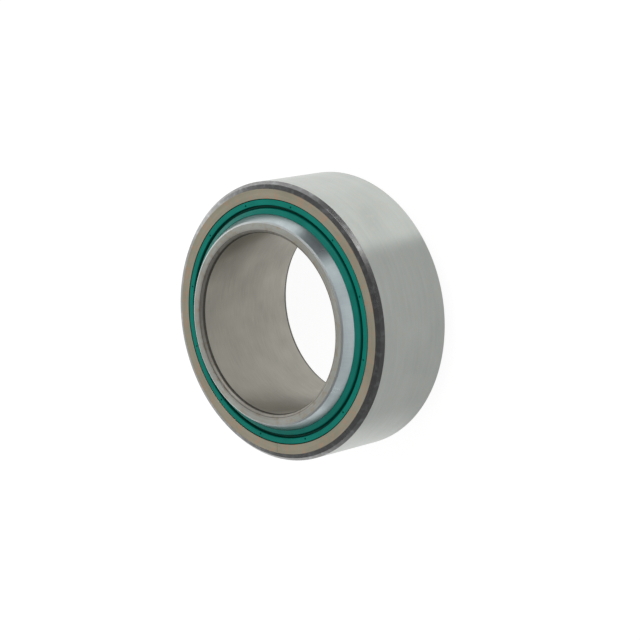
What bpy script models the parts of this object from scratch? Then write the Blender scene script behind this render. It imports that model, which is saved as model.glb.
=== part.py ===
"""Sealed, maintenance-free radial spherical plain bearing, size 40, as separate solids.

The bearing axis is Z and the origin is the centre of the ball. The part stands on the end face of its
inner ring, so the floor is the plane z = -INNER_WIDTH / 2. Lengths are in metres, and MM turns a figure in
millimetres into metres.
"""

import math

import bmesh
import bpy

MM = 0.001

# Inner ring. The ball runs through the outer edge of its end faces, which makes it 53 mm across.
BORE_DIAMETER = 40.0 * MM
INNER_WIDTH = 28.0 * MM
BORE_CORNER = 0.7 * MM  # radius that rounds each end of the bore
INNER_FACE_LAND = 1.55 * MM  # radial width of the flat on each end face
BALL_EDGE_LAND = 0.404 * MM  # radial width of the break between end face and ball
BALL_EDGE_DROP = 0.25 * MM  # how far that break runs down the axis

# Sliding layer in the concave seat of the outer ring
RUNNING_GAP = 0.1 * MM  # between ball and sliding layer
LINER_THICKNESS = 0.5 * MM
BOND_LINE = 0.3 * MM  # between sliding layer and outer ring
LINER_SETBACK = 0.4 * MM  # from the seal ledge to the end of the layer

# Seal, measured outwards from the ball where the end face of the outer ring would meet it
LIP_WIDTH = 1.34 * MM  # from the ball to the middle of the flex groove
BAND_WIDTH = 1.5 * MM  # from there to the seal's rim
SEAL_CLEARANCE = 0.3 * MM  # between the seal and its seat
LIP_CLEARANCE = 0.1 * MM  # between each lip and the ball
LIP_RISE = 0.6 * MM  # how far the outer lip stands proud of the outer ring
LIP_THICKNESS = 0.5 * MM
FLEX_GROOVE_WIDTH = 0.8 * MM
FLEX_GROOVE_FLOOR = 0.4 * MM
FLEX_GROOVE_DEPTH = 0.75 * MM
RIM_ROUND = 0.15 * MM
INNER_LIP_HEIGHT = 0.45 * MM  # from the foot of the seal to the tip of its inner lip
NOTCH_DEPTH = 0.35 * MM  # of the hollow between the two lips, measured from the ball
DIMPLE_COUNT = 12
DIMPLE_DIAMETER = 0.4 * MM
DIMPLE_DEPTH = 0.35 * MM
DIMPLE_INSET = 0.64 * MM  # from the seal's rim
DIMPLE_PHASE = math.radians(12.0)

# Outer ring. Its wall follows from the seal seat outwards, which makes it 62 mm across.
OUTER_WIDTH = 22.0 * MM
OUTER_FACE_LAND = 2.1 * MM  # radial width of the flat on each end face
CHAMFER_RADIAL = 1.65 * MM
CHAMFER_AXIAL = 1.25 * MM
CHAMFER_CROWN = 0.17 * MM  # how far the chamfer bulges from a straight cone
REBATE_DEPTH = 2.0 * MM
REBATE_LEAD_IN = 0.08 * MM  # small chamfer that guides the seal into its rebate
SNAP_GROOVE_DEPTH = 0.45 * MM
SNAP_GROOVE_HEIGHT = 0.9 * MM
SPLIT_WIDTH = 0.08 * MM
SPLIT_ANGLE = math.radians(263.1)

# Facets
SEGMENTS = 72
ARC_STEP = math.radians(5.0)
CORNER_STEPS = 3
DIMPLE_SIDES = 8

bore_radius = BORE_DIAMETER / 2
inner_face = INNER_WIDTH / 2
shoulder_radius = bore_radius + BORE_CORNER + INNER_FACE_LAND
ball_edge = (shoulder_radius + BALL_EDGE_LAND, inner_face - BALL_EDGE_DROP)
ball_radius = math.hypot(*ball_edge)
liner_radius = ball_radius + RUNNING_GAP
seat_radius = liner_radius + LINER_THICKNESS + BOND_LINE
outer_face = OUTER_WIDTH / 2
ledge_height = outer_face - REBATE_DEPTH


def radius_on_sphere(radius, height):
    """Distance from the axis of a point at this height on a sphere about the origin."""
    return math.sqrt(radius ** 2 - height ** 2)


flex_groove_radius = radius_on_sphere(ball_radius, outer_face) + LIP_WIDTH
seal_rim = flex_groove_radius + BAND_WIDTH
rebate_radius = seal_rim + SEAL_CLEARANCE
outer_radius = rebate_radius + OUTER_FACE_LAND + CHAMFER_RADIAL


def sphere_arc(radius, top, bottom):
    """Profile points along a sphere about the origin, in an even number of steps from top to bottom."""
    start = math.asin(top / radius)
    end = math.asin(bottom / radius)
    steps = 2 * math.ceil(abs(start - end) / (2 * ARC_STEP))
    angles = [start + (end - start) * i / steps for i in range(steps + 1)]
    return [(radius * math.cos(a), radius * math.sin(a)) for a in angles]


def corner_arc(centre, radius, start, end):
    """Profile points along an arc from one angle to another, both ends included."""
    angles = [start + (end - start) * i / CORNER_STEPS for i in range(CORNER_STEPS + 1)]
    return [(centre[0] + radius * math.cos(a), centre[1] + radius * math.sin(a)) for a in angles]


def mirrored(points):
    """The same outline below the middle plane, in the order that carries on downwards."""
    return [(r, -z) for r, z in reversed(points)]


def new_material(name, colour, roughness, metallic):
    material = bpy.data.materials.new(name)
    material.use_nodes = True
    shader = material.node_tree.nodes["Principled BSDF"]
    shader.inputs["Base Color"].default_value = (*colour, 1.0)
    shader.inputs["Roughness"].default_value = roughness
    shader.inputs["Metallic"].default_value = metallic
    return material


def new_collection(name):
    collection = bpy.data.collections.new(name)
    bpy.context.scene.collection.children.link(collection)
    return collection


def turned(name, outline, collection, material):
    """A ring: a closed outline in the XZ plane, outer side running down, that a Screw modifier turns."""
    mesh = bpy.data.meshes.new(name)
    sides = [(i, (i + 1) % len(outline)) for i in range(len(outline))]
    mesh.from_pydata([(r, 0.0, z) for r, z in outline], sides, [])
    ring = bpy.data.objects.new(name, mesh)
    collection.objects.link(ring)
    sweep = ring.modifiers.new("Turn", "SCREW")
    sweep.axis = "Z"
    sweep.angle = math.tau
    sweep.steps = SEGMENTS
    sweep.render_steps = SEGMENTS
    sweep.use_merge_vertices = True
    sweep.merge_threshold = 0.00001
    sweep.use_smooth_shade = True
    mesh.materials.append(material)
    return ring


def cut(target, cutter, name):
    """Subtracts a cutter and keeps it as a wire guide that doesn't render."""
    cutter.hide_render = True
    cutter.display_type = "WIRE"
    boolean = target.modifiers.new(name, "BOOLEAN")
    boolean.operation = "DIFFERENCE"
    boolean.solver = "EXACT"
    boolean.object = cutter


def inner_ring_outline():
    corner_centre = (bore_radius + BORE_CORNER, inner_face - BORE_CORNER)
    corner = corner_arc(corner_centre, BORE_CORNER, math.pi, math.pi / 2)
    top = corner + [(shoulder_radius, inner_face)]
    return top + sphere_arc(ball_radius, ball_edge[1], -ball_edge[1]) + mirrored(top)


def outer_ring_outline():
    groove_radius = rebate_radius + SNAP_GROOVE_DEPTH
    groove_top = ledge_height + SNAP_GROOVE_HEIGHT
    chamfer_middle = (
        outer_radius - CHAMFER_RADIAL / 2 + CHAMFER_CROWN,
        outer_face - CHAMFER_AXIAL / 2 + CHAMFER_CROWN,
    )
    top = [
        (groove_radius, ledge_height),
        (groove_radius, groove_top),
        (rebate_radius, groove_top + SNAP_GROOVE_DEPTH),
        (rebate_radius, outer_face - REBATE_LEAD_IN),
        (rebate_radius + REBATE_LEAD_IN, outer_face),
        (rebate_radius + OUTER_FACE_LAND, outer_face),
        chamfer_middle,
        (outer_radius, outer_face - CHAMFER_AXIAL),
    ]
    seat = sphere_arc(seat_radius, -ledge_height, ledge_height)
    return top + mirrored(top) + seat


def liner_outline():
    end = ledge_height - LINER_SETBACK
    outside = sphere_arc(liner_radius + LINER_THICKNESS, end, -end)
    inside = sphere_arc(liner_radius, -end, end)
    return outside + inside


def on_ball(height, clearance):
    """A profile point at this height that keeps this clearance to the ball."""
    return (radius_on_sphere(ball_radius + clearance, height), height)


def seal_outline():
    """The front seal: rim and snap bead outside, two lips on the ball, flex groove on its face."""
    foot = ledge_height + SEAL_CLEARANCE
    bead = seal_rim + SNAP_GROOVE_DEPTH
    bead_top = ledge_height + SNAP_GROOVE_HEIGHT - SEAL_CLEARANCE
    tip = outer_face + LIP_RISE
    inner_tip = foot + INNER_LIP_HEIGHT
    lip_heel = tip - LIP_THICKNESS / 2
    rim_side = [
        (seal_rim - RIM_ROUND, outer_face),
        (seal_rim, outer_face - RIM_ROUND),
        (seal_rim, bead_top + SNAP_GROOVE_DEPTH),
        (bead, bead_top),
        (bead, foot),
    ]
    ball_side = [
        on_ball(foot, LIP_CLEARANCE + NOTCH_DEPTH / 2),
        on_ball(inner_tip, LIP_CLEARANCE),
        on_ball((lip_heel + inner_tip) / 2, LIP_CLEARANCE + NOTCH_DEPTH),
        on_ball(lip_heel, LIP_CLEARANCE),
        on_ball(tip, LIP_CLEARANCE),
    ]
    face_side = [
        (flex_groove_radius - FLEX_GROOVE_WIDTH / 2, outer_face),
        (flex_groove_radius - FLEX_GROOVE_FLOOR / 2, outer_face - FLEX_GROOVE_DEPTH),
        (flex_groove_radius + FLEX_GROOVE_FLOOR / 2, outer_face - FLEX_GROOVE_DEPTH),
        (flex_groove_radius + FLEX_GROOVE_WIDTH / 2, outer_face),
    ]
    return rim_side + ball_side + face_side


def add_inner_ring(parts):
    material = new_material("chromed_steel", (0.46, 0.47, 0.47), 0.25, 1.0)
    turned("inner_ring", inner_ring_outline(), parts, material)


def add_outer_ring(parts, cutters):
    """The steel outer ring, with the hairline split cut in the middle of one of its facets."""
    material = new_material("ground_steel", (0.42, 0.40, 0.36), 0.4, 1.0)
    ring = turned("outer_ring", outer_ring_outline(), parts, material)
    half_facet = math.pi / SEGMENTS
    ring.rotation_euler.z = SPLIT_ANGLE - half_facet
    wall = outer_radius - radius_on_sphere(seat_radius, ledge_height)
    bpy.ops.mesh.primitive_cube_add(size=1.0)
    slit = bpy.context.active_object
    slit.name = "split_cutter"
    for home in list(slit.users_collection):
        home.objects.unlink(slit)
    cutters.objects.link(slit)
    slit.scale = (2 * wall, SPLIT_WIDTH, 2 * OUTER_WIDTH)
    slit.location = (outer_radius * math.cos(SPLIT_ANGLE), outer_radius * math.sin(SPLIT_ANGLE), 0.0)
    slit.rotation_euler.z = SPLIT_ANGLE
    cut(ring, slit, "Split")


def add_liner(parts):
    material = new_material("woven_liner", (0.35, 0.30, 0.20), 0.7, 0.0)
    turned("sliding_liner", liner_outline(), parts, material)


def dimple_cutter(cutters):
    """All the moulding dimples of one seal as one mesh of short pins."""
    mesh = bpy.data.meshes.new("dimple_pins")
    pins = bmesh.new()
    for i in range(DIMPLE_COUNT):
        angle = DIMPLE_PHASE + math.tau * i / DIMPLE_COUNT
        made = bmesh.ops.create_cone(
            pins,
            cap_ends=True,
            segments=DIMPLE_SIDES,
            radius1=DIMPLE_DIAMETER / 2,
            radius2=DIMPLE_DIAMETER / 2,
            depth=2 * DIMPLE_DEPTH,
        )
        reach = seal_rim - DIMPLE_INSET
        place = (reach * math.cos(angle), reach * math.sin(angle), outer_face)
        bmesh.ops.translate(pins, verts=made["verts"], vec=place)
    pins.to_mesh(mesh)
    pins.free()
    cutter = bpy.data.objects.new("dimple_pins", mesh)
    cutters.objects.link(cutter)
    return cutter


def add_seals(parts, cutters):
    """The front seal, and the same seal turned half round about X for the rear."""
    material = new_material("green_elastomer", (0.008, 0.165, 0.13), 0.45, 0.0)
    for name, turn in (("front_seal", 0.0), ("rear_seal", math.pi)):
        seal = turned(name, seal_outline(), parts, material)
        seal.rotation_euler.x = turn
        pins = dimple_cutter(cutters)
        pins.parent = seal
        cut(seal, pins, "Dimples")


def main():
    for leftover in list(bpy.data.objects):
        bpy.data.objects.remove(leftover, do_unlink=True)
    parts = new_collection("spherical_plain_bearing")
    cutters = new_collection("cutters")
    add_inner_ring(parts)
    add_outer_ring(parts, cutters)
    add_liner(parts)
    add_seals(parts, cutters)


main()
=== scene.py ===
# %% [markdown]
# # A sealed spherical plain bearing
# Two steel rings swivel in each other like a hip joint. The inner ring is a hard ball with a bore through
# it, and the outer ring holds it in a hollow seat that is lined with a thin woven cloth. A rubber seal is
# snapped into each end of the outer ring. The solids arrive as a fixed frame with true sizes. This script
# gives each piece a finer skin in the same place and then its finish, and ends with a plain white studio.

# %% Load the frame
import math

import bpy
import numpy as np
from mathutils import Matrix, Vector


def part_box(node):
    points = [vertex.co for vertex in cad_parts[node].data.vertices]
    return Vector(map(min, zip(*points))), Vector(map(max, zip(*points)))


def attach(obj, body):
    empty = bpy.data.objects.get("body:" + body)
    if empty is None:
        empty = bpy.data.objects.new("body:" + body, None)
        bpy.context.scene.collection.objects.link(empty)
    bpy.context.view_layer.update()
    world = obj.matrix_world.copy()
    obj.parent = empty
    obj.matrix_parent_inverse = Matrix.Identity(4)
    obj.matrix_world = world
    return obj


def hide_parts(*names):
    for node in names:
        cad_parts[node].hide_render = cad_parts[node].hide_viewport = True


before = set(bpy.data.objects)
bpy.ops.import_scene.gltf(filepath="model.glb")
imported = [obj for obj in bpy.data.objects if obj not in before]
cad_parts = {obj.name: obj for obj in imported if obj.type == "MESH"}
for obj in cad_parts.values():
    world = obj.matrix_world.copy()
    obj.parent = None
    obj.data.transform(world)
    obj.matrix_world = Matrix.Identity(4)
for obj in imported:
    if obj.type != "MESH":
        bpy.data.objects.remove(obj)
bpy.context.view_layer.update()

# %% [markdown]
# ## Sizes
# Heights and the outside diameter are read from the frame's boxes, so the skins can't outgrow the solids.
# The bore, the ball and the small details are named here in millimetres. Meshes are built in metres at the
# very end.

MM = 0.001


def reach(node):
    """Highest corner of a node's box, in millimetres."""
    return np.array(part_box(node)[1]) / MM


inner_face = reach("inner_ring")[2]
outer_face = reach("outer_ring")[2]
outer_radius = min(reach("outer_ring")[:2])
lip_height = reach("front_seal")[2]
bead_radius = reach("front_seal")[0]
liner_back, _, liner_end = reach("sliding_liner")
print(f"faces at {inner_face:.2f} and {outer_face:.2f} mm, outside radius {outer_radius:.3f} mm")

# %% Name the details
BORE_RADIUS = 20.0
BORE_CORNER = 1.15
BALL_RADIUS = 26.5
LINER_THICKNESS = 0.5
SEAT_RADIUS = 27.4
SHOULDER = 22.25  # radius where the inner ring's end face breaks towards the ball
LEDGE = outer_face - 2.0  # floor of the rebate that takes the seal
REBATE_RADIUS = 27.20
GROOVE_RADIUS = 27.61  # snap groove cut into the wall of the rebate
CHAMFER_INNER = 29.35
CHAMFER_MIDDLE = (30.34, outer_face - 0.46)
CHAMFER_DROP = 1.25
SPLIT_ANGLE = math.radians(263.1)
SPLIT_WIDTH = 0.045
SEAL_RIM = 27.05
FLEX_GROOVE = 25.45  # radius of the groove that lets the lip bend
DIMPLE_RADIUS = 26.31
DIMPLES = 12
DIMPLE_PHASE = math.radians(12.0)

# %% [markdown]
# ## The camera
# The photograph looks down on the bearing from the side, with a long lens and the camera rolled, so that
# the bearing seems to lie on its side. Here it stands on its end, so the roll is in the camera. The place,
# the aim and the lens were fitted to the rims of the rings in the picture.

# %% Place the camera
CAMERA_PLACE = Vector((375.38, 55.70, 388.56)) * MM
CAMERA_AIM = Vector((1.68, -1.30, -1.42)) * MM
PICTURE_UP = Vector((0.0, 0.9895, -0.1446))
LENS, SENSOR = 137.43, 36.0


def facing(place, aim, up):
    """World matrix of a thing at place whose -Z axis points at aim and whose Y axis is nearest to up."""
    back = (place - aim).normalized()
    right = up.cross(back).normalized()
    turn = Matrix((right, back.cross(right), back)).transposed()
    return Matrix.Translation(place) @ turn.to_4x4()


def add_camera():
    lens = bpy.data.cameras.new("camera")
    lens.lens = LENS
    lens.sensor_width = SENSOR
    lens.clip_start = 0.01
    camera = bpy.data.objects.new("camera", lens)
    camera.matrix_world = facing(CAMERA_PLACE, CAMERA_AIM, PICTURE_UP)
    bpy.context.scene.collection.objects.link(camera)
    bpy.context.scene.camera = camera
    print(f"camera {(CAMERA_PLACE - CAMERA_AIM).length / MM:.0f} mm from its aim, lens {LENS} mm")


add_camera()

# %% [markdown]
# ## Profiles
# Every piece is turned, so each starts as one closed outline of radius and height. A lathe leaves no truly
# sharp edge, and a small radius is what catches a line of light. The outline is therefore written as its
# few corners, each with its own radius, and one function rounds them all at once.

# %% Round an outline
ARC_POINTS = 7
GUARD = 0.04  # a point this far beyond each arc keeps the shading of the flat beside it flat


def rounded(corners, radii):
    """A closed outline with each corner rounded by its radius; a radius of 0 keeps the point as it is.

    Formula: at a corner the edges leave in unit directions a and b, with half the angle between them
    called h. The circle that touches both has its centre r / sin h along their bisector and touches them r
    / tan h from the corner. Its points turn evenly from one touching point to the other.
    """
    corners = np.asarray(corners, float)
    round_off = np.asarray(radii, float)[:, None]
    r = np.where(round_off > 0, round_off, 0.01)
    back = np.roll(corners, 1, axis=0) - corners
    ahead = np.roll(corners, -1, axis=0) - corners
    a = back / np.linalg.norm(back, axis=1, keepdims=True)
    b = ahead / np.linalg.norm(ahead, axis=1, keepdims=True)
    half = np.arccos(np.clip((a * b).sum(axis=1, keepdims=True), -0.9999999, 1.0)) / 2
    bisector = (a + b) / np.linalg.norm(a + b, axis=1, keepdims=True)
    centre = corners + bisector * r / np.sin(half)
    start, end = corners + a * r / np.tan(half), corners + b * r / np.tan(half)
    spoke, last_spoke = (start - centre)[:, None], (end - centre)[:, None]
    sweep = (math.pi - 2 * half)[:, None]
    t = np.linspace(0.0, 1.0, ARC_POINTS)[None, :, None]
    turned = (np.sin((1 - t) * sweep) * spoke + np.sin(t * sweep) * last_spoke) / np.sin(sweep)
    arc = centre[:, None] + turned
    rows = np.concatenate([(start + a * GUARD)[:, None], arc, (end + b * GUARD)[:, None]], axis=1)
    plain = round_off[:, 0] == 0
    rows[plain, 0] = corners[plain]
    kept = np.ones(rows.shape[:2], bool)
    kept[plain, 1:] = False
    return rows[kept]


# %% Arcs and mirrored corners
def ball_arc(radius, top, bottom, step=1.5):
    """Points of a sphere's outline from one height to another, a step of so many degrees apart.

    Formula: at each angle above the middle plane, the point's distance from the axis is radius * cos(angle)
    and its height is radius * sin(angle).
    """
    first, last = math.asin(top / radius), math.asin(bottom / radius)
    count = max(2, round(abs(math.degrees(first - last)) / step) + 1)
    angle = np.linspace(first, last, count)
    return np.stack([radius * np.cos(angle), radius * np.sin(angle)], axis=1)


def flipped(corners):
    """The same corners below the middle plane, in the order that carries on downwards."""
    return [(radius, -height) for radius, height in reversed(corners)]


# %% [markdown]
# ## From outline to ring
# Blender's Screw modifier would sweep an outline too, but a grid worked out with numpy can also bend: the
# outer ring opens at its fracture line and the seals dip at their moulding dimples. Columns run round the
# axis, rows run along the outline, and four neighbours make a face.

# %% Sweep an outline
COLUMNS = 480


def even_columns(count=COLUMNS):
    """Angles of evenly spaced columns, one full turn without its end."""
    return np.linspace(0.0, math.tau, count, endpoint=False)[:, None]


def swept(outline, angles):
    """Grid of points: x = radius * cos(angle), y = radius * sin(angle), z = height, in millimetres."""
    radius, height = outline.T
    angles = np.broadcast_to(angles, (len(angles), len(outline)))
    return np.stack([radius * np.cos(angles), radius * np.sin(angles), height + 0 * angles], axis=-1)


def grid_faces(columns, rows, open_turn):
    """Four vertex numbers for each cell; both directions close unless the turn stays open."""
    i = np.arange(columns - 1 if open_turn else columns)[:, None]
    j = np.arange(rows)[None, :]
    i_next, j_next = (i + 1) % columns, (j + 1) % rows
    cell = [i * rows + j, i * rows + j_next, i_next * rows + j_next, i_next * rows + j]
    return np.stack(cell, axis=-1).reshape(-1, 4)


# %% Put a grid into a mesh
SHARP_ANGLE = math.radians(40.0)  # faces that meet at a larger angle keep a sharp edge


def add_piece(name, grid, body, finishes, zone=None, open_turn=False):
    """A mesh from a grid of columns and rows. zone gives each row of faces the number of its finish."""
    columns, rows = grid.shape[:2]
    faces = grid_faces(columns, rows, open_turn).tolist()
    if open_turn:
        first = list(range(rows))
        faces += [first[::-1], [(columns - 1) * rows + k for k in first]]
    mesh = bpy.data.meshes.new(name)
    mesh.from_pydata(grid.reshape(-1, 3) * MM, [], faces)
    for finish in finishes:
        mesh.materials.append(finish)
    if zone is not None:
        numbers = np.zeros(len(faces), np.int32)
        cells = (columns - 1 if open_turn else columns) * rows
        numbers[:cells] = np.tile(zone, cells // rows)
        mesh.polygons.foreach_set("material_index", numbers)
    mesh.shade_smooth()
    mesh.set_sharp_from_angle(angle=SHARP_ANGLE)
    mesh.validate()
    piece = bpy.data.objects.new(name, mesh)
    bpy.context.scene.collection.objects.link(piece)
    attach(piece, body)
    print(f"{name}: {columns} columns of {rows} points, about {2 * columns * rows} triangles")
    return piece


def row_middles(outline):
    """Radius and height of the middle of each row of faces."""
    return ((outline + np.roll(outline, -1, axis=0)) / 2).T


# %% [markdown]
# ## Shader helpers
# A material is a small network. These helpers add a node, link what is a socket and set what is a number,
# so that each finish below reads as a short recipe.

# %% Add and link nodes
MIX_COLOUR_INPUTS = (0, 6, 7)  # a Mix node's factor and its two colours, among sockets for other kinds
MIX_COLOUR_OUTPUT = 2


def feed(tree, socket, value):
    """Links a socket to another, or sets its value; None leaves it alone."""
    if isinstance(value, bpy.types.NodeSocket):
        tree.links.new(value, socket)
    elif value is not None:
        socket.default_value = value


def add(tree, kind, *values, **settings):
    """A node of that kind; its inputs take the values in order."""
    made = tree.nodes.new("ShaderNode" + kind)
    for name, setting in settings.items():
        setattr(made, name, setting)
    for socket, value in zip(made.inputs, values):
        feed(tree, socket, value)
    return made


def maths(tree, operation, *values):
    return add(tree, "Math", *values, operation=operation).outputs[0]


def mixed(tree, factor, first, second, blend="MIX"):
    """A colour between two colours."""
    made = add(tree, "Mix", data_type="RGBA", blend_type=blend)
    for place, value in zip(MIX_COLOUR_INPUTS, (factor, first, second)):
        feed(tree, made.inputs[place], value)
    return made.outputs[MIX_COLOUR_OUTPUT]


def smooth_step(tree, value, low, high):
    """0 up to low, 1 from high on, and an S curve between them."""
    return add(tree, "MapRange", value, low, high, 0.0, 1.0, interpolation_type="SMOOTHSTEP").outputs[0]


def between(tree, value, low, high):
    """A number that goes from low to high as the value goes from 0 to 1."""
    return add(tree, "MapRange", value, 0.0, 1.0, low, high).outputs[0]


# %% Places and noises
def scaled(tree, vector, factor):
    """A vector times a number."""
    made = add(tree, "VectorMath", vector, operation="SCALE")
    feed(tree, made.inputs["Scale"], factor)
    return made.outputs[0]


def object_mm(tree):
    """The point's place in the piece, in millimetres."""
    return scaled(tree, add(tree, "TexCoord").outputs["Object"], 1 / MM)


def spread(tree, noise):
    """The middle half of a noise's range drawn out to the whole of 0 to 1."""
    return add(tree, "MapRange", noise, 0.25, 0.75, 0.0, 1.0).outputs[0]


# %% Make groups and materials
SOCKETS = {float: "NodeSocketFloat", tuple: "NodeSocketVector"}


def new_group(name, inputs, outputs):
    """A node group with named sockets: inputs by their defaults, outputs by their socket types."""
    group = bpy.data.node_groups.new(name, "ShaderNodeTree")
    for label, default in inputs.items():
        socket = group.interface.new_socket(label, in_out="INPUT", socket_type=SOCKETS[type(default)])
        socket.default_value = default
    for label, kind in outputs.items():
        group.interface.new_socket(label, in_out="OUTPUT", socket_type=kind)
    print(f"group {name}: {len(inputs)} inputs, {len(outputs)} outputs")
    return group, group.nodes.new("NodeGroupInput").outputs, group.nodes.new("NodeGroupOutput").inputs


def use(tree, group, **values):
    """Places a group and feeds its inputs by name; an underscore stands for a space."""
    made = tree.nodes.new("ShaderNodeGroup")
    made.node_tree = group
    for name, value in values.items():
        feed(tree, made.inputs[name.replace("_", " ")], value)
    return made.outputs


def new_material(name, **fixed):
    """A material with its Principled shader; fixed values go to the sockets that nothing drives."""
    material = bpy.data.materials.new(name)
    material.use_nodes = True
    shader = material.node_tree.nodes["Principled BSDF"]
    for socket, value in fixed.items():
        shader.inputs[socket.replace("_", " ")].default_value = value
    print(f"material {name}")
    return material, material.node_tree, shader.inputs


# %% [markdown]
# ## Where a point is on a ring
# Tool marks on a turned piece follow its axis and not the world's axes. This group turns Object
# coordinates into the distance from the axis, the height along it and a direction round it. The direction
# has no seam, which an angle would have.

# %% Group: ring_place
def make_ring_place():
    group, _, out = new_group(
        "ring_place",
        {},
        {"Radius": "NodeSocketFloat", "Height": "NodeSocketFloat", "Around": "NodeSocketVector"},
    )
    x, y, z = add(group, "SeparateXYZ", object_mm(group)).outputs
    flat = add(group, "CombineXYZ", x, y, 0.0).outputs[0]
    radius = add(group, "VectorMath", flat, operation="LENGTH").outputs["Value"]
    around = add(group, "VectorMath", flat, operation="NORMALIZE").outputs[0]
    for label, socket in (("Radius", radius), ("Height", z), ("Around", around)):
        group.links.new(socket, out[label])
    return group


ring_place = make_ring_place()

# %% [markdown]
# ## A soft band
# Much of a machined part's look is a zone between two radii or two heights, with a soft border. The mask
# rises from 0 to 1 at one end and falls back at the other.

# %% Group: soft_band
def make_soft_band():
    group, given, out = new_group(
        "soft_band",
        {"Value": 0.0, "From": 0.0, "To": 1.0, "Blur": 0.05},
        {"Mask": "NodeSocketFloat"},
    )
    steps = []
    for end in ("From", "To"):
        before = maths(group, "SUBTRACT", given[end], given["Blur"])
        after = maths(group, "ADD", given[end], given["Blur"])
        steps.append(smooth_step(group, given["Value"], before, after))
    group.links.new(maths(group, "SUBTRACT", *steps), out["Mask"])
    return group


soft_band = make_soft_band()

# %% [markdown]
# ## Marks of the lathe and the grinding wheel
# A tool or a wheel that runs round the axis leaves fine lines, dense across its path and very long along
# it. A noise texture becomes such lines when its space is stretched: many steps across, hardly any around.
# The group works on faces, where across is the radius, and on cylinders, where it is the height.

# %% Group: tool_lines
def make_tool_lines():
    group, given, out = new_group(
        "tool_lines",
        {"Across": 0.0, "Around": (0.0, 0.0, 0.0), "Lines per mm": 4.0, "Breaks": 2.0},
        {"Lines": "NodeSocketFloat"},
    )
    steps = maths(group, "MULTIPLY", given["Across"], given["Lines per mm"])
    slow = scaled(group, given["Around"], given["Breaks"])
    shift = add(group, "CombineXYZ", 0.0, 0.0, steps).outputs[0]
    space = add(group, "VectorMath", slow, shift, operation="ADD").outputs[0]
    noise = add(group, "TexNoise")
    noise.inputs["Scale"].default_value = 1.0
    noise.inputs["Detail"].default_value = 3.0
    noise.inputs["Roughness"].default_value = 0.65
    group.links.new(space, noise.inputs["Vector"])
    group.links.new(spread(group, noise.outputs["Fac"]), out["Lines"])
    return group


tool_lines = make_tool_lines()

# %% [markdown]
# ## Clouds
# Oil film, handling and uneven heat treatment leave wide, faint patches on every piece. One soft noise in
# millimetres serves them all, at a size that each material sets.

# %% Group: clouds
def make_clouds():
    group, given, out = new_group("clouds", {"Size mm": 6.0, "Detail": 2.0}, {"Cloud": "NodeSocketFloat"})
    noise = add(group, "TexNoise")
    group.links.new(object_mm(group), noise.inputs["Vector"])
    group.links.new(maths(group, "DIVIDE", 1.0, given["Size mm"]), noise.inputs["Scale"])
    group.links.new(given["Detail"], noise.inputs["Detail"])
    group.links.new(spread(group, noise.outputs["Fac"]), out["Cloud"])
    return group


clouds = make_clouds()


# %% [markdown]
# ## Bump
# Lines that are only painted look flat when the light moves. A Bump node turns the same lines into a tilt
# of the surface, with their depth in real micrometres.

# %% Add a bump
MICROMETRE = 1e-6


def bump(tree, height, depth_um):
    """A normal from a height of 0 to 1 that is so many micrometres deep."""
    made = tree.nodes.new("ShaderNodeBump")
    made.inputs["Strength"].default_value = 1.0
    made.inputs["Distance"].default_value = depth_um * MICROMETRE
    tree.links.new(height, made.inputs["Height"])
    return made.outputs["Normal"]


# %% [markdown]
# ## Finishes of the outer ring
# The outside is ground on a wheel, so it is satin with lines round the axis. Ground steel spreads light
# across its lines, which the shader's anisotropy does. Its end faces are ground too and have kept a
# brownish tint, and the chamfers are as the lathe and the furnace left them, which is darker.

# %% Steel that was worked round the axis
STAIN_SHARE = 0.8
OUTSIDE_GREY = ((0.470, 0.497, 0.474, 1.0), (0.605, 0.632, 0.600, 1.0), (0.560, 0.562, 0.500, 1.0))
FACE_BROWN = ((0.245, 0.224, 0.163, 1.0), (0.362, 0.334, 0.258, 1.0), (0.385, 0.262, 0.178, 1.0))
CHAMFER_GREY = ((0.190, 0.188, 0.182, 1.0), (0.330, 0.331, 0.326, 1.0), (0.400, 0.408, 0.412, 1.0))


def worked_steel(name, across, tones, roughness, lines_per_mm, depth_um, anisotropic=0.5, rings=()):
    """Steel with lines round the axis. across is Radius on a face and Height on a cylinder.

    tones are the dark and the light of the steel and the colour of its small stains. Each of the rings is
    a dark line painted into the colour: its radius, half its width, its blur and the share of light that it
    keeps.
    """
    material, tree, shader = new_material(
        name, Metallic=1.0, Anisotropic=anisotropic, Anisotropic_Rotation=0.25
    )
    place = use(tree, ring_place)
    around = place["Around"]
    coarse = use(tree, tool_lines, Across=place[across], Around=around, Lines_per_mm=lines_per_mm / 5)
    fine = use(tree, tool_lines, Across=place[across], Around=around, Lines_per_mm=lines_per_mm)
    patches = use(tree, clouds, Size_mm=9.0)
    streak = maths(tree, "MULTIPLY_ADD", coarse["Lines"], 0.6, maths(tree, "MULTIPLY", fine["Lines"], 0.4))
    tone = maths(tree, "MULTIPLY_ADD", streak, 0.6, maths(tree, "MULTIPLY", patches["Cloud"], 0.4))
    stains = use(tree, clouds, Size_mm=1.3, Detail=3.0)
    stained = maths(tree, "MULTIPLY", smooth_step(tree, stains["Cloud"], 0.45, 0.95), STAIN_SHARE)
    colour = mixed(tree, stained, mixed(tree, tone, *tones[:2]), tones[2])
    for radius, half, blur, share in rings:
        line = use(tree, soft_band, Value=place["Radius"], From=radius - half, To=radius + half, Blur=blur)
        colour = mixed(tree, 1.0, colour, between(tree, line["Mask"], 1.0, share), blend="MULTIPLY")
    feed(tree, shader["Base Color"], colour)
    feed(tree, shader["Roughness"], between(tree, tone, *roughness))
    feed(tree, shader["Normal"], bump(tree, fine["Lines"], depth_um))
    return material


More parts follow.
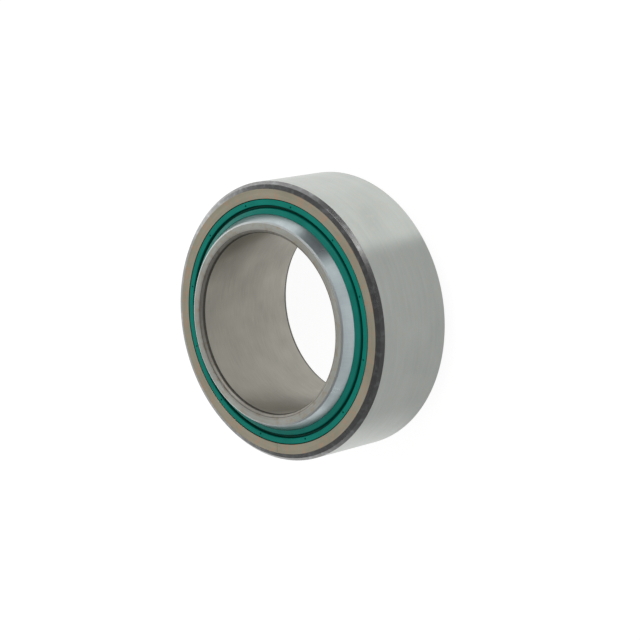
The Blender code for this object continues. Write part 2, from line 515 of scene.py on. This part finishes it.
outside_finish = worked_steel("ground_outside", "Height", OUTSIDE_GREY, (0.37, 0.30), 6.0, 1.2, 0.8)
face_finish = worked_steel("ground_end_face", "Radius", FACE_BROWN, (0.42, 0.34), 7.0, 1.0, 0.3)
chamfer_finish = worked_steel("turned_chamfer", "Radius", CHAMFER_GREY, (0.33, 0.24), 4.0, 1.4, 0.2)

# %% [markdown]
# ## The outer ring
# It is bored to a hollow ball inside and has a rebate at each end for its seal, with a groove in the
# rebate's wall that the seal snaps into. The chamfer is two cones with a soft edge between them. Only the
# upper half of the outline is written down, because the ring is the same at both ends.

# %% Outline of the outer ring
LEAD_IN = 0.05  # small cone that guides the seal in
GROOVE_HEIGHT = 0.9  # of the snap groove's straight wall
SLOPE_END = 1.35  # how far above the ledge the groove's slope meets the rebate's wall
SEAT_ROUND = 0.03


def outer_ring_outline():
    seat_edge = math.sqrt(SEAT_RADIUS**2 - LEDGE**2)
    upper_half = [
        ((GROOVE_RADIUS, LEDGE), 0.08),
        ((GROOVE_RADIUS, LEDGE + GROOVE_HEIGHT), 0.08),
        ((REBATE_RADIUS, LEDGE + SLOPE_END), 0.08),
        ((REBATE_RADIUS, outer_face - LEAD_IN), 0.02),
        ((REBATE_RADIUS + LEAD_IN, outer_face), 0.02),
        ((CHAMFER_INNER, outer_face), 0.12),
        (CHAMFER_MIDDLE, 0.12),
        ((outer_radius, outer_face - CHAMFER_DROP), 0.04),
    ]
    corners, radii = zip(*upper_half)
    seat = ball_arc(SEAT_RADIUS, -LEDGE, LEDGE, step=3.0)
    seat_radii = [SEAT_ROUND] + [0.0] * (len(seat) - 2) + [SEAT_ROUND]
    outline = rounded([*corners, *flipped(corners), *seat], [*radii, *radii[::-1], *seat_radii])
    print(f"outer ring: seat edge at radius {seat_edge:.2f} mm, {len(outline)} points")
    return outline


# %% [markdown]
# ## The crack
# The ring is cracked through at one place, on purpose, so that it can be sprung over the ball. A boolean
# cut would open it too, but here the columns simply don't close: the first and the last stand half a gap
# to either side of the crack. The crack shows as a hairline that wanders.

# %% Outer ring with its crack
CRACK_WANDER = 0.03
CRACK_FADE = 40.0  # how soon the columns beside the crack are straight again
NEAR = 0.02  # a row of faces this close to the outside or the end face belongs to it


def crack_shift(radius, height):
    """How far the crack strays sideways: two slow waves along the height and one along the radius, in mm."""
    waves = np.sin(0.9 * height) + 0.6 * np.sin(2.3 * height + 1.0) + 0.8 * np.sin(3.1 * radius)
    return CRACK_WANDER * waves


def add_outer_ring():
    outline = outer_ring_outline()
    radius, height = outline.T
    half_gap = SPLIT_WIDTH / 2 / radius
    share = np.linspace(0.0, 1.0, COLUMNS + 1)[:, None]
    fade = np.exp(-CRACK_FADE * np.minimum(share, 1.0 - share))
    stray = crack_shift(radius, height) / radius * fade
    angles = SPLIT_ANGLE + half_gap + stray + share * (math.tau - 2 * half_gap)
    middle_radius, middle_height = row_middles(outline)
    on_outside = middle_radius > outer_radius - NEAR
    on_face = np.abs(middle_height) > outer_face - NEAR
    on_chamfer = middle_radius > CHAMFER_INNER
    zone = np.select([on_outside, on_face, on_chamfer], [0, 1, 2], default=1)
    finishes = [outside_finish, face_finish, chamfer_finish]
    grid = swept(outline, angles)
    ring = add_piece("outer_ring_skin", grid, "housing_side", finishes, zone, open_turn=True)
    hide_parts("outer_ring")


add_outer_ring()

# %% [markdown]
# ## Finishes of the inner ring
# The ball is hard chromed and polished, so it mirrors the room with a bluish cast, drawn out a little
# across its polishing lines. The end faces are turned and ground like the outer ring's, less brown. The
# bore is honed. The wheel didn't reach its rounded corner, which is brownish from the furnace; its colour
# is painted darker towards the bore, as shade in the corner.

# %% Chrome, face, corner and bore
BALL_TONES = ((0.445, 0.512, 0.530, 1.0), (0.590, 0.656, 0.670, 1.0))
BREAK_TONES = ((0.590, 0.623, 0.616, 1.0), (0.720, 0.753, 0.746, 1.0), (0.650, 0.664, 0.636, 1.0))
INNER_FACE_TONES = ((0.258, 0.256, 0.222, 1.0), (0.384, 0.390, 0.360, 1.0), (0.305, 0.258, 0.195, 1.0))
CORNER_TONES = ((0.370, 0.352, 0.308, 1.0), (0.520, 0.504, 0.455, 1.0), (0.360, 0.316, 0.256, 1.0))
FACE_RINGS = ((21.32, 0.02, 0.04, 0.72), (21.62, 0.01, 0.05, 0.86))
# Painted shade in the bore's corner: a dark band where the corner meets the bore and two fainter lines
# further out.
CORNER_PAINTED_SHADE = ((BORE_RADIUS, 0.19, 0.10, 0.30), (20.70, 0.07, 0.05, 0.52), (21.10, 0.03, 0.05, 0.80))
BORE_TONES = ((0.385, 0.374, 0.330, 1.0), (0.545, 0.527, 0.463, 1.0))


def ball_chrome():
    material, tree, shader = new_material(
        "polished_chrome", Metallic=1.0, Anisotropic=0.3, Anisotropic_Rotation=0.25
    )
    place = use(tree, ring_place)
    height, around = place["Height"], place["Around"]
    hairs = use(tree, tool_lines, Across=height, Around=around, Lines_per_mm=9.0, Breaks=6.0)
    wipes = use(tree, tool_lines, Across=height, Around=around, Lines_per_mm=0.25, Breaks=70.0)
    patches = use(tree, clouds, Size_mm=5.0, Detail=3.0)
    marks = maths(tree, "MULTIPLY_ADD", hairs["Lines"], 0.3, maths(tree, "MULTIPLY", wipes["Lines"], 0.35))
    tone = maths(tree, "MULTIPLY_ADD", patches["Cloud"], 0.35, marks)
    feed(tree, shader["Base Color"], mixed(tree, tone, *BALL_TONES))
    feed(tree, shader["Roughness"], between(tree, tone, 0.38, 0.24))
    feed(tree, shader["Normal"], bump(tree, hairs["Lines"], 0.12))
    return material


def honed_bore():
    material, tree, shader = new_material(
        "honed_bore", Metallic=1.0, Anisotropic=0.8, Anisotropic_Rotation=0.25
    )
    place = use(tree, ring_place)
    height, around = place["Height"], place["Around"]
    hairs = use(tree, tool_lines, Across=height, Around=around, Lines_per_mm=5.0, Breaks=5.0)
    patches = use(tree, clouds, Size_mm=8.0)
    tone = maths(tree, "MULTIPLY_ADD", hairs["Lines"], 0.5, maths(tree, "MULTIPLY", patches["Cloud"], 0.5))
    feed(tree, shader["Base Color"], mixed(tree, tone, *BORE_TONES))
    feed(tree, shader["Roughness"], between(tree, tone, 0.51, 0.43))
    feed(tree, shader["Normal"], bump(tree, hairs["Lines"], 0.8))
    return material


ball_finish = ball_chrome()
bore_finish = honed_bore()
break_finish = worked_steel("ball_edge", "Radius", BREAK_TONES, (0.62, 0.54), 5.0, 0.6, 0.0)
inner_face_finish = worked_steel(
    "turned_inner_face", "Radius", INNER_FACE_TONES, (0.42, 0.30), 6.0, 1.2, 0.3, FACE_RINGS
)
corner_finish = worked_steel(
    "bore_corner", "Radius", CORNER_TONES, (0.62, 0.54), 8.0, 1.0, 0.0, CORNER_PAINTED_SHADE
)

# %% [markdown]
# ## The inner ring
# The ball is cut off flat at both ends and bored through. A narrow break runs round each end face before
# the ball begins, and a larger radius leads a shaft into the bore.

# %% Inner ring
EDGE_HEIGHT = inner_face - 0.25  # where the ball begins
BALL_EDGE = math.sqrt(BALL_RADIUS**2 - EDGE_HEIGHT**2)
SHOULDER_ROUND = 0.15
BALL_EDGE_ROUND = 0.25
CORNER_END = BORE_RADIUS + BORE_CORNER - 0.06  # the face's finish reaches a little into the corner


def inner_ring_outline():
    corners = [(BORE_RADIUS, inner_face), (SHOULDER, inner_face)]
    radii = [BORE_CORNER, SHOULDER_ROUND]
    ball = ball_arc(BALL_RADIUS, EDGE_HEIGHT, -EDGE_HEIGHT)
    ball_radii = [BALL_EDGE_ROUND] + [0.0] * (len(ball) - 2) + [BALL_EDGE_ROUND]
    return rounded([*corners, *ball, *flipped(corners)], radii + ball_radii + radii[::-1])


def add_inner_ring():
    outline = inner_ring_outline()
    middle_radius, _ = row_middles(outline)
    on_ball = middle_radius > BALL_EDGE
    on_break = middle_radius > SHOULDER
    on_bore = middle_radius < BORE_RADIUS + 0.005
    on_corner = middle_radius < CORNER_END
    zone = np.select([on_ball, on_break, on_bore, on_corner], [0, 1, 2, 3], default=4)
    finishes = [ball_finish, break_finish, bore_finish, corner_finish, inner_face_finish]
    grid = swept(outline, even_columns())
    ring = add_piece("inner_ring_skin", grid, "shaft_side", finishes, zone)
    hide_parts("inner_ring")


add_inner_ring()

# %% [markdown]
# ## Green elastomer
# The seals are moulded from a green rubbery plastic, dull and even, with the mould's fine grain. Rubber
# reflects little, so the shader's specular level is low. Whatever lies below the face, which is the groove
# and the moulding dimples, is painted darker as shade.

# %% Seal material
SEAL_TONES = ((0.0012, 0.180, 0.138, 1.0), (0.0040, 0.236, 0.184, 1.0))
# The lips' green is the seal's green painted darker, as shade on the sloping lip.
LIP_SHADED_TONES = ((0.0012, 0.156, 0.122, 1.0), (0.0040, 0.212, 0.168, 1.0))
# Dark green painted as shade in the groove and the dimples.
RECESS_SHADE = (0.0005, 0.062, 0.046, 1.0)


def green_elastomer(name, tones, shine, roughness):
    material, tree, shader = new_material(name, Specular_IOR_Level=shine)
    place = use(tree, ring_place)
    radius, around = place["Radius"], place["Around"]
    flow = use(tree, tool_lines, Across=radius, Around=around, Lines_per_mm=2.5, Breaks=3.0)
    grain = use(tree, clouds, Size_mm=0.18, Detail=2.0)
    patches = use(tree, clouds, Size_mm=4.0)
    tone = maths(tree, "MULTIPLY_ADD", flow["Lines"], 0.4, maths(tree, "MULTIPLY", patches["Cloud"], 0.6))
    # Painted shade: below the face, in the groove and the dimples, the colour is painted darker.
    below_face = maths(tree, "SUBTRACT", outer_face, maths(tree, "ABSOLUTE", place["Height"]))
    recess_shade = smooth_step(tree, below_face, 0.06, 0.38)
    feed(tree, shader["Base Color"], mixed(tree, recess_shade, mixed(tree, tone, *tones), RECESS_SHADE))
    feed(tree, shader["Roughness"], between(tree, grain["Cloud"], *roughness))
    feed(tree, shader["Normal"], bump(tree, grain["Cloud"], 4.0))
    return material


seal_finish = green_elastomer("green_elastomer", SEAL_TONES, 0.10, (0.52, 0.40))
lip_finish = green_elastomer("green_elastomer_lip", LIP_SHADED_TONES, 0.20, (0.40, 0.30))

# %% [markdown]
# ## The seals
# Seen in section a seal is a foot with a snap bead, a rim, and two lips that rub on the ball with a hollow
# between them. A groove in its face makes the outer lip supple. The lips are placed by their distance from
# the ball, so they follow it wherever the ball turns or tilts.

# %% Outline of a seal
LIP_GAP = 0.02  # between the lips and the ball
FOOT = LEDGE + 0.3
BEAD_TOP = LEDGE + 0.6
BEAD_SLOPE = 0.45  # height of the slope from the bead to the rim
INNER_LIP = FOOT + 0.45
HEEL = lip_height - 0.25  # lower end of the outer lip's contact with the ball
GROOVE_HALF = 0.40
GROOVE_DEPTH = 0.75
FLOOR_HALF = 0.20
PIN_ZONE = 0.30  # half the width of the rows that can dip at the dimples


def off_ball(height, gap):
    """The outline point at this height that is this far from the ball."""
    return (math.sqrt((BALL_RADIUS + gap) ** 2 - height**2), height)


def seal_outline():
    pin_rows = np.linspace(DIMPLE_RADIUS - PIN_ZONE, DIMPLE_RADIUS + PIN_ZONE, 15)
    groove_floor = outer_face - GROOVE_DEPTH
    shape = [
        ((SEAL_RIM, outer_face), 0.12),
        ((SEAL_RIM, BEAD_TOP + BEAD_SLOPE), 0.08),
        ((bead_radius, BEAD_TOP), 0.06),
        ((bead_radius, FOOT), 0.06),
        (off_ball(FOOT, LIP_GAP + 0.2), 0.05),
        (off_ball(INNER_LIP, LIP_GAP), 0.05),
        (off_ball((HEEL + INNER_LIP) / 2, LIP_GAP + 0.35), 0.2),
        (off_ball(HEEL, LIP_GAP), 0.05),
        (off_ball(lip_height, LIP_GAP), 0.07),
        ((FLEX_GROOVE - GROOVE_HALF - 0.05, outer_face + 0.07), 0.28),
        ((FLEX_GROOVE - FLOOR_HALF, groove_floor), 0.12),
        ((FLEX_GROOVE + FLOOR_HALF, groove_floor), 0.12),
        ((FLEX_GROOVE + GROOVE_HALF, outer_face), 0.08),
    ]
    shape += [((radius, outer_face), 0.0) for radius in pin_rows]
    return rounded(*zip(*shape))


# %% [markdown]
# ## Moulding dimples
# Twelve small dimples are left in each seal by the mould's ejector pins. A displacement texture would need
# a fine mesh everywhere. Here the columns crowd together at the dimples instead, so that those stay round.

# %% Dimples
DIMPLE_SIZE = 0.26  # radius of a dimple
DIMPLE_DEPTH = 0.40
DIMPLE_SLOPE = 0.55  # share of the radius that its wall takes up
CROWDED = math.radians(0.65)  # half the angle over which columns stand close together


def dimple_depth(radius, angles):
    """Depth of the seal's face at each point, in millimetres.

    Formula: the distance to the nearest dimple's middle, over the dimple's radius, goes through a smooth
    step that is 1 in the middle and 0 outside.
    """
    pitch = math.tau / DIMPLES
    off_angle = (angles - DIMPLE_PHASE + pitch / 2) % pitch - pitch / 2
    distance = np.hypot(radius - DIMPLE_RADIUS, radius * off_angle) / DIMPLE_SIZE
    fall = np.clip((1.0 - distance) / DIMPLE_SLOPE, 0.0, 1.0)
    return DIMPLE_DEPTH * fall * fall * (3.0 - 2.0 * fall)


def crowded_columns():
    """Angles of columns that stand close together at each dimple and further apart between dimples."""
    pitch = math.tau / DIMPLES
    close = np.linspace(-CROWDED, CROWDED, 13)
    wide = np.linspace(CROWDED, pitch - CROWDED, 34)[1:-1]
    one_pitch = np.concatenate([close, wide])
    starts = DIMPLE_PHASE + pitch * np.arange(DIMPLES)
    return (starts[:, None] + one_pitch[None, :]).reshape(-1, 1)


# %% [markdown]
# ## Both seals
# The rear seal is the front one turned half round. Mirroring would turn its faces inside out, while a half
# turn about the X axis changes the signs of y and z and leaves them facing outwards.

# %% Both seals
def add_seals():
    outline = seal_outline()
    grid = swept(outline, crowded_columns())
    radius = np.hypot(grid[..., 0], grid[..., 1])
    angles = np.arctan2(grid[..., 1], grid[..., 0])
    on_face = np.abs(grid[..., 2] - outer_face) < 1e-6
    on_lip = (row_middles(outline)[0] < FLEX_GROOVE - GROOVE_HALF).astype(np.int32)
    finishes = [seal_finish, lip_finish]
    grid[..., 2] -= np.where(on_face, dimple_depth(radius, angles), 0.0)
    half_turn = np.array([1.0, -1.0, -1.0])
    for name, turned in (("front_seal", grid), ("rear_seal", grid * half_turn)):
        seal = add_piece(f"{name}_skin", turned, "housing_side", finishes, on_lip)
        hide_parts(name)


add_seals()

# %% [markdown]
# ## The woven liner
# Behind the seals a half-millimetre cloth of slippery fibre and glass thread lines the seat. It is woven
# plain, each thread over one and under the next. A checkerboard says which thread lies on top, and the
# height of each thread is a round one, which the Bump node turns into relief.

# %% Cloth material
THREAD = 0.6  # from one thread to the next
CLOTH_TONES = ((0.330, 0.285, 0.180, 1.0), (0.560, 0.520, 0.420, 1.0))


def woven_cloth():
    """Warp and weft take turns on a checkerboard, and each thread is round across its own run."""
    material, tree, shader = new_material("woven_liner", Specular_IOR_Level=0.3)
    threads = scaled(tree, add(tree, "UVMap", uv_map="cloth_mm").outputs[0], 1 / THREAD)
    u, v, _ = add(tree, "SeparateXYZ", threads).outputs
    cell = maths(tree, "ADD", maths(tree, "FLOOR", u), maths(tree, "FLOOR", v))
    warp_on_top = maths(tree, "PINGPONG", cell, 1.0)
    rounds = [maths(tree, "PINGPONG", way, 0.5) for way in (u, v)]
    chosen = add(tree, "Mix", warp_on_top, None, rounds[1], rounds[0])
    height = maths(tree, "POWER", maths(tree, "MULTIPLY", chosen.outputs[0], 2.0), 0.5)
    patches = use(tree, clouds, Size_mm=3.0)
    shade = maths(tree, "MULTIPLY_ADD", warp_on_top, 0.35, maths(tree, "MULTIPLY", patches["Cloud"], 0.65))
    feed(tree, shader["Base Color"], mixed(tree, shade, *CLOTH_TONES))
    feed(tree, shader["Roughness"], between(tree, height, 0.85, 0.60))
    feed(tree, shader["Normal"], bump(tree, height, 60.0))
    return material


# %% [markdown]
# ## The liner's shape
# The cloth is a thin zone between two balls. Its pattern has to follow the surface, so the mesh carries a
# map in millimetres, round the axis one way and along the outline the other.

# %% Liner
LINER_COLUMNS = 360
LINER_EDGE_ROUND = 0.08


def add_liner():
    outside = ball_arc(liner_back, liner_end, -liner_end, step=1.5)
    inside = ball_arc(liner_back - LINER_THICKNESS, -liner_end, liner_end, step=1.5)
    radii = ([LINER_EDGE_ROUND] + [0.0] * (len(outside) - 2) + [LINER_EDGE_ROUND]) * 2
    outline = rounded([*outside, *inside], radii)
    grid = swept(outline, even_columns(LINER_COLUMNS))
    liner = add_piece("sliding_liner_skin", grid, "liner_side", [woven_cloth()])
    run = np.linalg.norm(np.roll(outline, -1, axis=0) - outline, axis=1)
    along = np.concatenate([[0.0], np.cumsum(run)])
    around = np.linspace(0.0, math.tau * liner_back, LINER_COLUMNS + 1)
    u = around[:-1, None, None] + np.array([0.0, 0.0, 1.0, 1.0]) * around[1]
    v = np.stack([along[:-1], along[1:], along[1:], along[:-1]], axis=-1)[None]
    u, v = np.broadcast_arrays(u, v)
    layer = liner.data.uv_layers.new(name="cloth_mm")
    layer.data.foreach_set("uv", np.stack([u, v], axis=-1).ravel())
    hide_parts("sliding_liner")


add_liner()

# %% [markdown]
# ## The floor
# The picture's background is pure white. The floor is therefore white to the camera, and also to mirrors
# and glass, while light that bounces off it is that of plain white card. A share of it is left to the
# lamps, so the bearing still casts a faint shadow. On the camera's side the floor's glow is painted grey
# for mirrors only, a painted reflection of a grey card, because a bare white table would wash out the
# front of the cylinder.

# %% Where the floor is painted grey for mirrors
GREY_REFLECTION_EDGES = ((26.0, 49.0, 1.0, 6.0), (-33.0, -90.0, -1.0, 26.0))  # start, heading, side, blur in mm


def painted_grey_reflection(tree):
    """1 on the part of the floor whose glow is painted grey for mirrors, 0 elsewhere.

    Formula: each long edge of the grey patch is a line that leaves the bearing's outside at one angle and
    runs off in one direction. The signed distance from the line, in millimetres, goes through a smooth step;
    the patch lies on the negative side of both.
    """
    spot = add(tree, "TexCoord").outputs["Object"]
    sides = []
    for start, heading, left, blur in GREY_REFLECTION_EDGES:
        start, heading = math.radians(start), math.radians(heading)
        corner = Vector((math.cos(start), math.sin(start), 0.0)) * outer_radius * MM
        across = Vector((-math.sin(heading), math.cos(heading), 0.0)) * left
        away = add(tree, "VectorMath", spot, tuple(across), operation="DOT_PRODUCT").outputs["Value"]
        reach_in = across.dot(corner)
        outside = smooth_step(tree, away, reach_in, reach_in + blur * MM)
        sides.append(maths(tree, "SUBTRACT", 1.0, outside))
    return maths(tree, "MULTIPLY", *sides)


# %% White for the camera, card for the light
SHADOW_SHARE = 0.15
# Grey of the floor's glow as mirrors see it, where the painted reflection lies.
MIRRORED_GREY = 0.54
WHITE_CARD = (0.8, 0.8, 0.8, 1.0)
WHITE = (1.0, 1.0, 1.0, 1.0)


def background_ray(tree):
    """1 for a ray that shows the background: straight from the camera, off metal or through glass."""
    ray = add(tree, "LightPath").outputs
    sharp = maths(tree, "MAXIMUM", ray["Is Camera Ray"], ray["Is Glossy Ray"])
    return maths(tree, "MAXIMUM", sharp, ray["Is Transmission Ray"])


def white_floor():
    material = bpy.data.materials.new("white_floor")
    material.use_nodes = True
    tree = material.node_tree
    tree.nodes.clear()
    card = add(tree, "BsdfDiffuse", WHITE_CARD).outputs[0]
    shaded = add(tree, "BsdfDiffuse", (SHADOW_SHARE, SHADOW_SHARE, SHADOW_SHARE, 1.0)).outputs[0]
    # Painted reflection: for mirrors the floor's glow is dimmed to grey where the grey patch lies.
    dimmed = maths(tree, "MULTIPLY", painted_grey_reflection(tree), add(tree, "LightPath").outputs["Is Glossy Ray"])
    white = 1.0 - SHADOW_SHARE / 2
    strength = between(tree, dimmed, white, white * MIRRORED_GREY)
    glow = add(tree, "Emission", WHITE, strength).outputs[0]
    seen = add(tree, "AddShader", shaded, glow).outputs[0]
    surface = add(tree, "MixShader", background_ray(tree), card, seen).outputs[0]
    tree.links.new(surface, add(tree, "OutputMaterial").inputs["Surface"])
    return material


# %% Floor
FLOOR_REACH = 3.0


def plane(name, matrix, width, height, material):
    """A rectangle that faces along its own -Z, turned and placed by the matrix."""
    x, y = width / 2, height / 2
    mesh = bpy.data.meshes.new(name)
    mesh.from_pydata([(-x, -y, 0), (x, -y, 0), (x, y, 0), (-x, y, 0)], [], [(0, 1, 2, 3)])
    mesh.transform(matrix)
    mesh.materials.append(material)
    made = bpy.data.objects.new(name, mesh)
    bpy.context.scene.collection.objects.link(made)
    return made


floor_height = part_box("inner_ring")[0].z
plane("floor", Matrix.Translation((0, 0, floor_height)), 2 * FLOOR_REACH, 2 * FLOOR_REACH, white_floor())
print(f"floor at {floor_height / MM:.1f} mm")

# %% [markdown]
# ## The room
# Polished steel is only as good as what it mirrors. A photographer hangs dark cards round a white table to
# draw edges into metal. Here the world is white for the camera, and for mirrors it has a dark ceiling that
# hangs lower on one side. It draws the dark band on the chamfer. A bright round window in it keeps the end
# faces light.

# %% World
CEILING_LEAN = 0.25  # how much lower it hangs on one side
LOW_SIDE = (math.cos(math.radians(-115.0)), math.sin(math.radians(-115.0)), 0.0)
CEILING_FROM, CEILING_TO = 0.24, 0.40
WINDOW = Vector((-0.691, -0.1025, 0.7155))  # where the end faces mirror the room
WINDOW_HALF_ANGLE, WINDOW_BLUR = math.radians(30.0), math.radians(8.0)
WORLD_FILL = 0.66
CEILING_TONE = (0.125, 0.125, 0.130, 1.0)
ROOM_WHITE = (0.97, 0.985, 1.0, 1.0)


def step_along(tree, direction, axis, low, high):
    """0 to 1, smoothly, as the direction's share along the axis goes from low to high."""
    share = add(tree, "VectorMath", direction, axis, operation="DOT_PRODUCT").outputs["Value"]
    return smooth_step(tree, share, low, high)


def add_world():
    world = bpy.data.worlds.new("studio")
    world.use_nodes = True
    tree = world.node_tree
    tree.nodes.clear()
    direction = add(tree, "TexCoord").outputs["Generated"]
    z = add(tree, "SeparateXYZ", direction).outputs[2]
    low_side = add(tree, "VectorMath", direction, LOW_SIDE, operation="DOT_PRODUCT").outputs["Value"]
    height = maths(tree, "MULTIPLY_ADD", maths(tree, "MAXIMUM", low_side, 0.0), CEILING_LEAN, z)
    ceiling = smooth_step(tree, height, CEILING_FROM, CEILING_TO)
    rim, core = math.cos(WINDOW_HALF_ANGLE + WINDOW_BLUR), math.cos(WINDOW_HALF_ANGLE - WINDOW_BLUR)
    window = step_along(tree, direction, tuple(WINDOW.normalized()), rim, core)
    dark = maths(tree, "MULTIPLY", ceiling, maths(tree, "SUBTRACT", 1.0, window))
    mirrored = mixed(tree, dark, ROOM_WHITE, CEILING_TONE)
    glossy = add(tree, "LightPath").outputs["Is Glossy Ray"]
    seen = mixed(tree, glossy, WHITE, mirrored)
    fill = (WORLD_FILL, WORLD_FILL, WORLD_FILL, 1.0)
    colour = mixed(tree, background_ray(tree), fill, seen)
    background = add(tree, "Background", colour, 1.0).outputs[0]
    tree.links.new(background, add(tree, "OutputWorld").inputs["Surface"])
    bpy.context.scene.world = world
    print(f"world {world.name}, fill {WORLD_FILL}")


add_world()

# %% [markdown]
# ## The dark card
# An upright card beside the bearing gives the ball its one dark patch. Only mirrors see it, so it takes no
# light from the piece and casts no shadow. One of its edges fades out, because the patch is soft there.

# %% Dark card
CARD_BLACK = (0.08, 0.08, 0.085, 1.0)


def black_card(right, low, high):
    """Dark card whose first side fades out: low and high are where the fade starts and ends along right."""
    material = bpy.data.materials.new("black_card")
    material.use_nodes = True
    tree = material.node_tree
    tree.nodes.clear()
    spot = add(tree, "TexCoord").outputs["Object"]
    fade = step_along(tree, spot, tuple(right), low, high)
    clear = add(tree, "BsdfTransparent").outputs[0]
    dark = add(tree, "BsdfDiffuse", CARD_BLACK).outputs[0]
    surface = add(tree, "MixShader", fade, clear, dark).outputs[0]
    tree.links.new(surface, add(tree, "OutputMaterial").inputs["Surface"])
    return material


def add_card(name, azimuth, distance, width, height, fade_to):
    """An upright card on the floor that only mirrors see, facing the bearing's axis.

    Its first edge, at the lower azimuth, fades in over fade_to millimetres.
    """
    angle = math.radians(azimuth)
    middle = floor_height / MM + height / 2
    centre = Vector((distance * math.cos(angle), distance * math.sin(angle), middle)) * MM
    matrix = facing(centre, Vector((0.0, 0.0, centre.z)), Vector((0.0, 0.0, 1.0)))
    along = Vector((-math.sin(angle), math.cos(angle), 0.0))
    edge = width * MM / 2
    card = plane(name, matrix, width * MM, height * MM, black_card(along, -edge, fade_to * MM - edge))
    card.visible_camera = False
    card.visible_diffuse = False
    card.visible_shadow = False
    print(f"{name}: {width:.0f} x {height:.0f} mm, {distance:.0f} mm from the axis")


add_card("patch_card", azimuth=67.0, distance=150.0, width=112.0, height=95.0, fade_to=34.0)

# %% [markdown]
# ## The lamps
# A big soft box over the card's side brightens the outside, and a weak low one behind lifts the far edge. A
# big lamp close by gives soft shadows and wide, gentle highlights, where a small one would give hard ones.

# %% Lamps
def add_lamp(name, direction, distance, size, watts):
    """A rectangular area lamp in that direction from the bearing, in metres and watts."""
    light = bpy.data.lights.new(name, "AREA")
    light.shape = "RECTANGLE"
    light.size, light.size_y = size
    light.energy = watts
    lamp = bpy.data.objects.new(name, light)
    place = Vector(direction).normalized() * distance
    lamp.matrix_world = facing(place, Vector((0.0, 0.0, 0.0)), Vector((0.0, 0.0, 1.0)))
    bpy.context.scene.collection.objects.link(lamp)
    print(f"{name}: {watts} W, {size[0]} m by {size[1]} m, {distance} m away")


add_lamp("side_box", (0.270, 0.741, 0.616), 0.9, (0.70, 0.34), 2.0)
add_lamp("back_box", (-0.850, 0.508, 0.130), 0.8, (0.55, 0.16), 0.4)

# %% [markdown]
# ## Finish
# The view transform stays plain, so that a colour renders as it was written.

# %% Keep the view plain
bpy.context.scene.view_settings.view_transform = "Standard"
